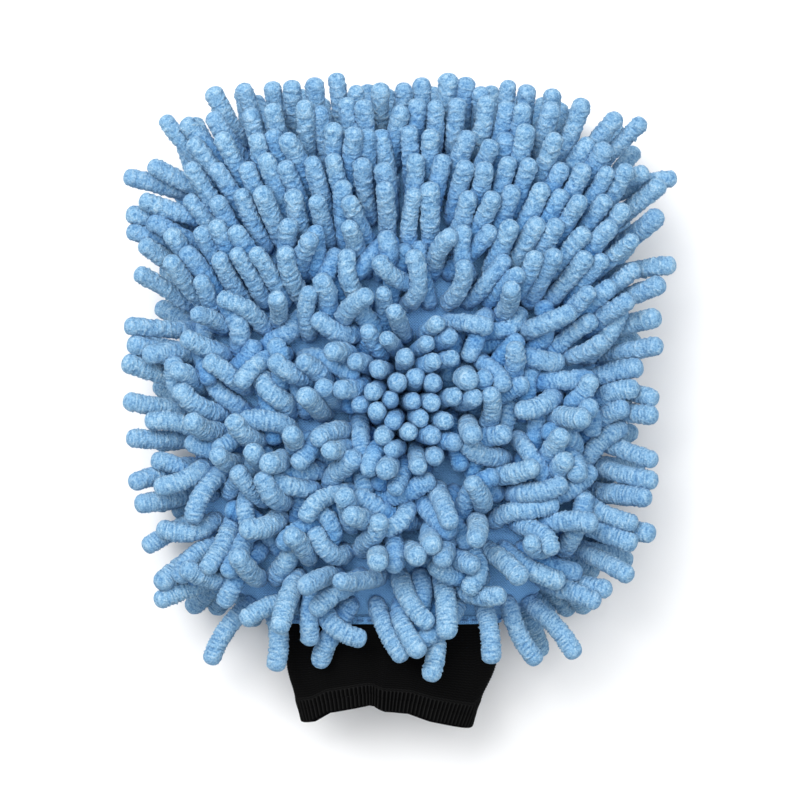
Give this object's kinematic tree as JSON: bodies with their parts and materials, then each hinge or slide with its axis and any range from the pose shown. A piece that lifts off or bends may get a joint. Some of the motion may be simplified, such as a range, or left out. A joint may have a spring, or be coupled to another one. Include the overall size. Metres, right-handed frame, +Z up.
{
  "type": "wash mitt",
  "caption": "Chenille car-wash mitt: pillow-shaped knit pocket with noodle pile on both sides and a short knitted elastic cuff.",
  "frame": {"origin": "on the surface that the mitt rests on, under the middle of its outline, pile and cuff included", "axes": "+Y from the cuff to the fingertips, +Z up out of the front pile, +X to the right as the front is seen"},
  "size_m": [0.2328, 0.2766, 0.0895],
  "materials": {
    "chenille_pile": "soft fuzzy chenille microfibre, light blue",
    "base_cloth": "fine knitted microfibre cloth, light blue, matt",
    "lining_cloth": "smooth thin knitted polyester, matt",
    "seam_thread": "spun polyester thread",
    "cuff_knit": "black knitted polyester with elastic, matt",
    "cuff_thread": "black spun polyester thread",
    "elastic_yarn": "covered rubber yarn, black"
  },
  "bodies": {
    "root": {"back_lining": "lining_cloth", "back_noodles_row_01": "chenille_pile", "back_noodles_row_02": "chenille_pile", "back_noodles_row_03": "chenille_pile", "back_noodles_row_04": "chenille_pile", "back_noodles_row_05": "chenille_pile", "back_noodles_row_06": "chenille_pile", "back_noodles_row_07": "chenille_pile", "back_noodles_row_08": "chenille_pile", "back_noodles_row_09": "chenille_pile", "back_noodles_row_10": "chenille_pile", "back_noodles_row_11": "chenille_pile", "back_noodles_row_12": "chenille_pile", "back_noodles_row_13": "chenille_pile", "back_noodles_row_14": "chenille_pile", "back_noodles_row_15": "chenille_pile", "back_noodles_row_16": "chenille_pile", "back_noodles_row_17": "chenille_pile", "back_noodles_row_18": "chenille_pile", "back_panel": "base_cloth", "cuff_elastic_yarns": "elastic_yarn", "cuff_knit": "cuff_knit", "cuff_seam_thread": "cuff_thread", "cuff_welt": "cuff_knit", "front_lining": "lining_cloth", "front_noodles_hollow": "chenille_pile", "front_noodles_row_01": "chenille_pile", "front_noodles_row_02": "chenille_pile", "front_noodles_row_03": "chenille_pile", "front_noodles_row_04": "chenille_pile", "front_noodles_row_05": "chenille_pile", "front_noodles_row_06": "chenille_pile", "front_noodles_row_07": "chenille_pile", "front_noodles_row_08": "chenille_pile", "front_noodles_row_09": "chenille_pile", "front_noodles_row_10": "chenille_pile", "front_noodles_row_11": "chenille_pile", "front_noodles_row_12": "chenille_pile", "front_noodles_row_13": "chenille_pile", "front_noodles_row_14": "chenille_pile", "front_noodles_row_15": "chenille_pile", "front_noodles_row_16": "chenille_pile", "front_noodles_row_17": "chenille_pile", "front_noodles_row_18": "chenille_pile", "front_panel": "base_cloth", "mouth_hem": "base_cloth", "side_seam_thread": "seam_thread"}
  },
  "joints": []
}
